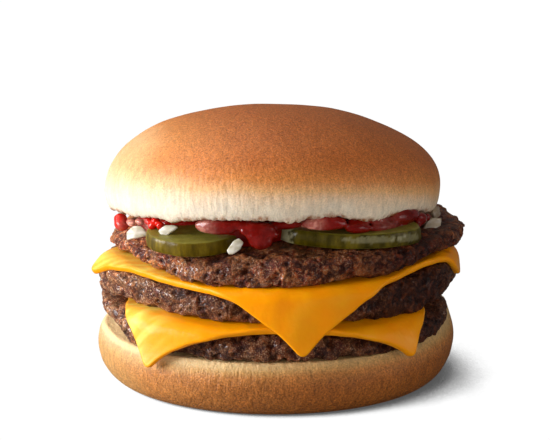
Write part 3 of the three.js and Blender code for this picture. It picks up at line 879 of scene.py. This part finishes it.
def pickle_mesh(place, size, tilt, roll, seed, milky_places):
    edge = [(1 - PICKLE_EDGE * (1 - out), (1 + up) / 2)
            for out, up in arc(-math.pi / 2, math.pi / 2, 14, 2.6)]
    inner = [share * (1 - PICKLE_EDGE) for share in (0, 0.2, 0.4, 0.55, 0.7, 0.8, 0.88, 0.94, 0.98)]
    profile = [(share, 0.0) for share in inner] + edge + [(share, 1.0) for share in reversed(inner)]
    mesh = spun(profile, PICKLE_STEPS)
    skin, milky = float_layers(mesh, "skin", "milky")
    rotation = Matrix.Rotation(math.radians(roll), 3, "Y") @ Matrix.Rotation(math.radians(tilt), 3, "X")
    for vertex, share, bearing, up in ring_vertices(mesh):
        lobed = share * (1 + wave(bearing, [(5, 0.015, 0.0), (9, 0.01, seed)]))
        x, y = around(lobed, bearing)
        shaped = Vector((x * size[0], y * size[1], up * size[2]))
        spot = shaped + Vector((0, 0, seed))
        wart = max(0.0, noise.noise(spot / 1.5) - 0.1) * smooth(0.9, 1.0, share)
        dish = 0.1 * (1 - smooth(0.3, 0.92, share)) * (1 if up > 0.5 else -1)
        seeds = 0.18 * max(0.0, noise.noise(spot / 1.8) - 0.2) * (1 - smooth(0.5, 0.7, share))
        vertex[skin] = smooth(0.955, 0.985, share)
        # painted reflections on the wet side, in ragged patches
        vertex[milky] = milky_at(bearing, up, ripples(spot, [(1.3, 1.0), (0.6, 0.5)]), milky_places)
        shaped.x *= 1 + 0.02 * wart
        shaped.y *= 1 + 0.02 * wart
        shaped.z += seeds - dish
        vertex.co = rotation @ shaped + Vector(place)
    return mesh


left_pickle = pickle_mesh((-22.7, -32.6, 45.7), (13.2, 12.7, 4.0), 5.0, 0.0, 2.0, [])
right_pickle = pickle_mesh((20.9, -29.9, 46.5), (20.0, 12.4, 4.2), 1.5, 0.7, 8.0, MILKY_PLACES)
make_piece("pickle_slice_left", left_pickle, paler_pickle, "pickle", "pickle_left")
make_piece("pickle_slice_right", right_pickle, darker_pickle, "pickle", "pickle_right")

# %% [markdown]
# ## Chopped onion
# A piece of chopped onion is a small, many-sided slab cut from one of its layers, a little curved, with
# faint lengthwise veins, and clear enough for light to glow inside. Its outline is written as a few
# corners. Every point of a sphere is moved out to the rounded sides between those corners, and the sphere
# is squeezed flat and bent. A piece that lies in shade is painted darker, painted shade, which an
# attribute says.

# %% The onion finish
def onion_finish(name):
    material, tree, shader = new_finish(name, IOR=1.36, Subsurface_Weight=0.5, Subsurface_Scale=0.003,
                                        Subsurface_Radius=(1.0, 0.9, 0.7), Specular_IOR_Level=0.3,
                                        Coat_Weight=0.2, Coat_Roughness=0.15)
    veins = attribute(tree, "veins")
    patches, grain = mottle(tree, 2.0, 0.5)
    paint = ramp(tree, veins, [(0.0, (182, 170, 144)), (1.0, (216, 206, 190))])
    # painted shade: pieces that lie in shade are painted darker
    paint = blended(tree, attribute(tree, "soaked"), paint, colour(122, 90, 60))
    link_to(shader, Base_Color=shaded(tree, paint, patches, 0.08), Roughness=spread(tree, grain, 0.15, 0.4),
            Normal=bumped(tree, veins, 0.1, 0.6))
    return material


onion = onion_finish("onion_finish")

# %% Make the onion pieces
OUTLINE_POWER = 30
ONION_FLATNESS = 0.35
ONION_FILL = 0.25


def sides_of(corners):
    """The direction and distance of each side of an outline round its middle."""
    sides = []
    for (x1, z1), (x2, z2) in zip(corners, corners[1:] + corners[:1]):
        out = Vector((z1 - z2, x2 - x1)).normalized()
        if out.dot(Vector((x1, z1))) < 0:
            out = -out
        sides.append((out, out.dot(Vector((x1, z1)))))
    return sides


def onion_slab(mesh, corners, thickness, place, turns, seed, rings, cooked):
    soaked, veins = float_layers(mesh, "soaked", "veins")
    made = bmesh.ops.create_uvsphere(mesh, u_segments=rings * 3, v_segments=rings, radius=1.0,
                                     matrix=Matrix.Rotation(math.pi / 2, 4, "X"))
    sides = sides_of(corners)
    about_x, about_y, about_z = (Matrix.Rotation(turn, 3, axis) for turn, axis in zip(turns, "XYZ"))
    for vertex in made["verts"]:
        x, y, z = vertex.co
        flat = Vector((x, z))
        share = min(1.0, flat.length)
        reach = 0.0
        if share > 1e-6:
            flat.normalize()
            facing = sum(max(0.0, out.dot(flat) / away) ** OUTLINE_POWER for out, away in sides)
            reach = facing ** (-1 / OUTLINE_POWER) * share ** ONION_FILL
        depth = math.copysign(abs(y) ** ONION_FLATNESS, y) * thickness / 2
        x, z = flat.x * reach, flat.y * reach
        uneven = 0.12 * noise.noise(Vector((x / 1.2, z / 1.2, seed)))
        # painted shade, the same over the whole piece
        vertex[soaked] = cooked
        vertex[veins] = 0.5 + 0.5 * math.sin(3.2 * z + 1.5 * noise.noise(Vector((x / 2.0, seed, z / 2.0))))
        shaped = Vector((x, depth * (1 - 0.12 * x * x / 9) + uneven + 0.05 * x * x, z))
        vertex.co = about_z @ about_y @ about_x @ shaped + Vector(place)


# name, node, bearing, reach, height, thickness, turns, how much painted shade, and the corners of the outline
SHOWN_ONIONS = [
    ("onion_piece_1", "onion_1", -0.965, 47.7, 47.4, 1.0, (-0.4, 0.0, 0.5), 0.0,
     [(-3.3, 0.0), (-2.6, -2.2), (1.6, -1.0), (3.5, -0.1), (2.4, 1.5), (1.1, 2.2), (-1.1, 2.0), (-2.4, 1.0)]),
    ("onion_piece_2", "onion_2", -0.68, 47.4, 50.2, 0.9, (-0.45, 0.0, 0.3), 0.0,
     [(-2.9, -0.2), (-1.0, -1.9), (0.2, -1.3), (2.9, 1.4), (1.8, 1.8), (-0.9, 1.5), (-2.0, 0.7)]),
    ("onion_piece_3", "onion_3", -0.23, 48.0, 48.1, 0.9, (-0.35, 0.0, 0.1), 0.0,
     [(-2.2, -1.2), (-1.6, -2.3), (-0.4, -2.3), (1.6, -0.7), (2.3, 1.2), (1.0, 2.2), (-0.4, 1.4)]),
    ("onion_piece_4", "onion_4", 1.25, 47.8, 47.7, 1.1, (-0.3, 0.0, -0.9), 0.5,
     [(-3.1, -1.5), (-2.0, 0.2), (-0.4, 1.6), (3.1, 1.4), (2.5, -0.9), (0.0, -1.7)]),
]
for seed, (name, node, bearing, reach, z, thickness, turns, cooked, corners) in enumerate(SHOWN_ONIONS, 1):
    mesh = bmesh.new()
    place = (*around(reach, bearing), z)
    onion_slab(mesh, corners, thickness, place, (turns[0], turns[1], bearing + turns[2]), seed, 20, cooked)
    bmesh.ops.recalc_face_normals(mesh, faces=mesh.faces)
    make_piece(name, mesh, onion, "onion", node)

# %% [markdown]
# Onion is strewn all round, so a few more pieces lie on the sides and at the back, held between the top
# patty and the bun. They are one mesh of small slabs, each with its own outline and turn from a seeded
# random. The first one is painted darker, as painted shade, and the others a little.

# %% Strew the other onion pieces
# bearing, reach, and height over the top patty
BIT_PLACES = [(1.4, 47.6, 3.3), (1.75, 46.6, 0.9), (2.2, 46.0, 1.0), (2.42, 46.8, 1.8), (2.95, 46.2, 1.0),
              (-2.85, 46.4, 1.2), (-2.55, 45.8, 2.4), (-2.1, 46.5, 1.0), (-1.72, 46.4, 1.2),
              (-1.6, 45.8, 2.9)]
BIT_LENGTH, BIT_WIDTH, BIT_THICKNESS = 3.1, 1.7, 1.2
scatter = random.Random(5)
bits_mesh = bmesh.new()
for number, (bearing, reach, lift) in enumerate(BIT_PLACES):
    x, y = around(reach, bearing)
    place = (x, y, height_at(patty_tops[2], x, y) + lift)
    corners = []
    for side in range(5):
        angle = math.tau * (side + scatter.uniform(-0.25, 0.25)) / 5
        corners.append((BIT_LENGTH * math.cos(angle) * scatter.uniform(0.85, 1.1),
                        BIT_WIDTH * math.sin(angle) * scatter.uniform(0.85, 1.1)))
    turns = (scatter.uniform(-0.6, -0.2), scatter.uniform(-0.4, 0.4), bearing + scatter.uniform(-0.4, 0.4))
    # the first piece lies in shade and gets more painted shade
    onion_slab(bits_mesh, corners, BIT_THICKNESS, place, turns, 10.0 + number, 14, 0.2 if number else 0.7)
bmesh.ops.recalc_face_normals(bits_mesh, faces=bits_mesh.faces)
make_piece("onion_bits", bits_mesh, onion, "onion")

# %% [markdown]
# ## Ketchup
# Ketchup is pressed out between the patty and the top bun. It is one wet body with lobes, so blobs are not
# enough on their own: a wedge fills the space, ellipsoids make the lobes, and a voxel remesh melts them
# into one skin, which is then smoothed a little. Brighter red is painted light, mostly on the left blobs
# where the key light falls and glows through the thin sauce, and pale pink patches are painted highlights.

# %% The ketchup finish
def ketchup_finish(name):
    material, tree, shader = new_finish(name, IOR=1.4, Specular_IOR_Level=0.25, Subsurface_Weight=0.2,
                                        Subsurface_Scale=0.002, Subsurface_Radius=(1.0, 0.08, 0.03),
                                        Coat_Roughness=0.05)
    patches, grain = mottle(tree, 3.0, 0.5)
    paint = ramp(tree, patches, [(0.3, (96, 4, 0)), (0.7, (126, 10, 1))])
    # painted light: brighter red where the key light falls and glows through the thin sauce
    paint = blended(tree, attribute(tree, "thin"), paint, colour(212, 22, 4))
    # painted highlights in pale pink
    paint = blended(tree, attribute(tree, "watery"), paint, colour(255, 182, 158))
    broad = bumped(tree, patches, 0.4, 0.5)
    link_to(shader, Base_Color=shaded(tree, paint, grain, 0.15), Roughness=spread(tree, patches, 0.12, 0.34),
            Coat_Weight=spread(tree, patches, 0.15, 0.7, 0.4, 0.6),
            Normal=bumped(tree, grain, 0.12, 0.6, broad))
    return material


ketchup = ketchup_finish("ketchup_finish")

# %% Make the ketchup
SAUCE_REACH = 40.5
SAUCE_SHORTER_BEHIND = 4.5
SAUCE_VOXEL = 0.42
SAUCE_LOBES = [(-1.25, 0.16, 3), (-0.86, 0.12, 2.5), (-0.58, 0.14, -7), (0.1, 0.2, -7), (1.9, 0.2, 5),
               (-2.1, 0.2, 5), (2.8, 0.2, 4)]
SAUCE_BLOBS = [
    # bearing, reach, height, half sizes along the edge, outwards and up, and roll
    (-1.22, 46.9, 47.7, (2.6, 2.2, 2.0), 0.0),
    (-1.245, 46.9, 48.9, (2.1, 2.0, 1.9), 0.0),
    (-1.10, 45.9, 49.2, (2.4, 1.4, 1.1), 0.1),
    (-0.98, 45.9, 50.4, (2.0, 1.3, 1.0), 0.1),
    (-0.87, 46.4, 51.6, (1.4, 1.4, 1.3), 0.0),
    (-0.80, 46.5, 52.1, (1.4, 1.4, 1.3), 0.0),
    (-0.82, 46.9, 50.6, (1.3, 1.3, 1.2), 0.0),
    (-0.75, 46.8, 51.1, (1.3, 1.3, 1.3), 0.0),
    (-0.36, 46.0, 52.8, (6.4, 1.9, 2.4), 0.0),
    (-0.22, 44.8, 53.6, (4.2, 2.4, 1.6), 0.0),
    (-0.175, 46.5, 52.0, (1.5, 1.2, 1.3), 0.0),
    (-0.10, 45.4, 52.8, (4.6, 2.4, 1.8), 0.0),
    (-0.095, 45.9, 50.9, (3.9, 2.3, 2.2), 0.0),
    (-0.085, 46.1, 49.3, (3.4, 2.2, 2.4), 0.0),
    (-0.03, 45.6, 51.5, (2.6, 1.8, 1.4), 0.3),
    (0.06, 43.0, 53.4, (5.0, 2.6, 1.4), 0.0),
    (0.30, 45.4, 54.0, (6.6, 2.2, 1.9), 0.0),
    (0.31, 46.4, 53.3, (6.0, 1.3, 1.4), 0.0),
    (0.52, 45.9, 51.7, (4.4, 1.8, 1.6), 0.12),
    (0.55, 44.6, 53.3, (4.0, 1.8, 1.1), 0.05),
    (0.72, 46.1, 50.9, (5.8, 1.7, 1.5), 0.03),
    (0.70, 44.8, 53.0, (4.0, 1.8, 1.2), 0.0),
    (0.93, 45.9, 52.5, (6.4, 2.4, 2.2), 0.02),
    (0.88, 45.6, 53.4, (4.0, 2.2, 1.8), -0.1),
    (0.95, 46.6, 49.1, (6.4, 1.3, 1.2), 0.08),
    (1.10, 46.3, 50.4, (3.0, 2.0, 2.0), 0.2),
    (1.21, 46.4, 49.8, (1.4, 1.4, 1.3), 0.0),
    (1.9, 43.5, 49.0, (7.0, 4.0, 2.4), 0.0),
    (1.96, 45.4, 49.8, (3.4, 2.6, 1.6), 0.1),
    (-2.1, 43.0, 48.6, (7.0, 4.0, 2.2), 0.0),
    (-2.03, 45.2, 48.6, (3.0, 2.4, 1.5), 0.0),
    (2.8, 41.5, 47.4, (8.0, 4.0, 1.9), 0.0),
    (2.72, 44.6, 47.2, (3.0, 2.4, 1.5), 0.0),
]
# bearings of the painted light in brighter red
THIN_PLACES = [(-1.25, 0.1, 1.0), (-0.8, 0.1, 1.0), (0.3, 0.2, 0.15)]
# bearings of the painted highlights in pale pink
WATERY_PLACES = [(-1.04, 0.1, 1.0), (-0.44, 0.07, 0.4), (0.23, 0.05, 0.5), (0.72, 0.1, 0.12)]


def sauce_wedge():
    inner = [0, 0.3, 0.55, 0.8]
    edge = [(1 - 0.05 * (1 - out), side) for out, side in arc(-math.pi / 2, math.pi / 2, 6)]
    mesh = spun([(share, -1) for share in inner] + edge + [(share, 1) for share in reversed(inner)], 120)
    for vertex, share, bearing, side in ring_vertices(mesh):
        reach = SAUCE_REACH - SAUCE_SHORTER_BEHIND * (1 - math.cos(bearing)) / 2
        x, y = around(share * (reach + bumps_at(bearing, SAUCE_LOBES)), bearing)
        low = height_at(patty_tops[2], x, y)
        high = max(low + 0.8, seat_height(x, y) + 0.1)
        vertex.co = (x, y, low + (1 + side) / 2 * (high - low))
    return mesh


def melted(mesh):
    """The same shape as one skin."""
    holder = in_scene("sauce_parts", mesh_data("sauce_parts", mesh))
    melt = holder.modifiers.new("melt", "REMESH")
    melt.mode = "VOXEL"
    melt.voxel_size = SAUCE_VOXEL
    skin = bpy.data.meshes.new_from_object(holder.evaluated_get(bpy.context.evaluated_depsgraph_get()))
    bpy.data.objects.remove(holder)
    joined = bmesh.new()
    joined.from_mesh(skin)
    return joined


def ketchup_mesh():
    parts = sauce_wedge()
    for bearing, reach, z, sizes, roll in SAUCE_BLOBS:
        place = (Matrix.Translation((*around(reach, bearing), z)) @ Matrix.Rotation(bearing, 4, "Z")
                 @ Matrix.Rotation(roll, 4, "Y") @ Matrix.Diagonal((*sizes, 1.0)))
        bmesh.ops.create_icosphere(parts, subdivisions=4, radius=1.0, matrix=place)
    mesh = melted(parts)
    for _ in range(4):
        bmesh.ops.smooth_vert(mesh, verts=mesh.verts, factor=0.5, use_axis_x=True, use_axis_y=True,
                              use_axis_z=True)
    thin, watery = float_layers(mesh, "thin", "watery")
    mesh.normal_update()
    for vertex in mesh.verts:
        place = vertex.co.copy()
        reach, bearing = reach_and_bearing(place)
        # painted light in brighter red at the bearings above
        vertex[thin] = held(bumps_at(bearing, THIN_PLACES) * (1 + 0.5 * noise.noise(place / 1.2)))
        speckled = 0.5 + 0.5 * smooth(-0.15, 0.25, noise.noise(place / 0.8))
        # painted highlights in pale pink, in speckled patches
        vertex[watery] = held(bumps_at(bearing, WATERY_PLACES) * speckled)
        vertex.co += vertex.normal * ripples(place, [(2.2, 0.12), (1.0, 0.05)]) * smooth(38, 43, reach)
    return mesh


make_piece("ketchup_sauce", ketchup_mesh(), ketchup, "ketchup", "ketchup")

# %% [markdown]
# ## The table and the light
# The burger stands on a plain white table that melts into a white background. One large soft light from
# the left does most of the work and leaves the right side in shade, and weak fills keep that side
# readable. The two in front don't show as reflections, so they brighten without adding gloss. A real
# table this white would need lights of its own. Here the camera sees it as a white glow, shaded only where
# the burger closes off the sky: an occlusion node measures that, and its normal leans to the left, so that
# the soft contact shade falls to the right. The food sees a plain, duller table.

# %% The table
TABLE_HALF_SIZE = 0.62
TABLE_GREY = 0.25
SHADE_REACH = 0.034
SHADE_LEAN = Vector((-1.0, -0.15, 0.7))
# how open the sky is, and how bright the table is there
CONTACT_SHADE = [(0.1, 0.06), (0.32, 0.1), (0.39, 0.22), (0.44, 0.49), (0.475, 0.8), (0.5, 0.97),
                 (0.52, 1.02)]


def table_finish():
    material = bpy.data.materials.new("table_finish")
    material.use_nodes = True
    tree = material.node_tree
    tree.nodes.clear()
    leaning = add(tree, "CombineXYZ", dict(enumerate(SHADE_LEAN.normalized()))).outputs[0]
    open_sky = add(tree, "AmbientOcclusion", {"Distance": SHADE_REACH, "Normal": leaning}, samples=16)
    bright = add(tree, "Emission", {"Color": ramp(tree, open_sky.outputs["AO"], CONTACT_SHADE)})
    plain = add(tree, "BsdfDiffuse", {"Color": grey(TABLE_GREY)})
    seen = add(tree, "LightPath").outputs["Is Camera Ray"]
    mixed = add(tree, "MixShader", {0: seen, 1: plain.outputs[0], 2: bright.outputs[0]})
    add(tree, "OutputMaterial", {"Surface": mixed.outputs[0]})
    return material


table_mesh = bmesh.new()
bmesh.ops.create_grid(table_mesh, x_segments=2, y_segments=2, size=TABLE_HALF_SIZE)
table = in_scene("table", mesh_data("table", table_mesh))
table.data.materials.append(table_finish())

# %% Lights and surroundings
LIGHT_AIM = Vector((0.0, 0.0, 0.045))
COOL_WHITE = (0.95, 1.0, 1.07)
LIGHTS = [
    # name, place, width, height, power, and whether it shows as a reflection
    ("key_light", (-0.62, -0.13, 0.2), 0.4, 0.4, 6.9, True),
    ("top_light", (-0.4, 0.2, 0.7), 1.0, 1.0, 2.8, True),
    ("front_light", (-0.1, -0.9, 0.05), 0.7, 0.3, 3.1, False),
    ("fill_light", (0.45, -0.8, 0.3), 0.8, 0.6, 0.9, False),
    ("right_light", (0.75, -0.25, 0.2), 0.4, 0.4, 0.8, True),
]
for name, place, width, height, power, mirrored in LIGHTS:
    data = bpy.data.lights.new(name, "AREA")
    data.shape = "RECTANGLE"
    data.size = width
    data.size_y = height
    data.energy = power
    light = in_scene(name, data)
    light.location = place
    light.visible_glossy = mirrored
    light.rotation_euler = (LIGHT_AIM - Vector(place)).to_track_quat("-Z", "Y").to_euler()
bpy.data.lights["key_light"].color = COOL_WHITE

world = bpy.data.worlds.new("white_surroundings")
world.use_nodes = True
world_tree = world.node_tree
world_tree.nodes.clear()
seen_by_camera = add(world_tree, "LightPath").outputs["Is Camera Ray"]
glow = blended(world_tree, seen_by_camera, grey(0.12), grey(1.02))
background = add(world_tree, "Background", {"Color": glow})
add(world_tree, "OutputWorld", {"Surface": background.outputs[0]})
bpy.context.scene.world = world
bpy.context.scene.view_settings.view_transform = "Standard"
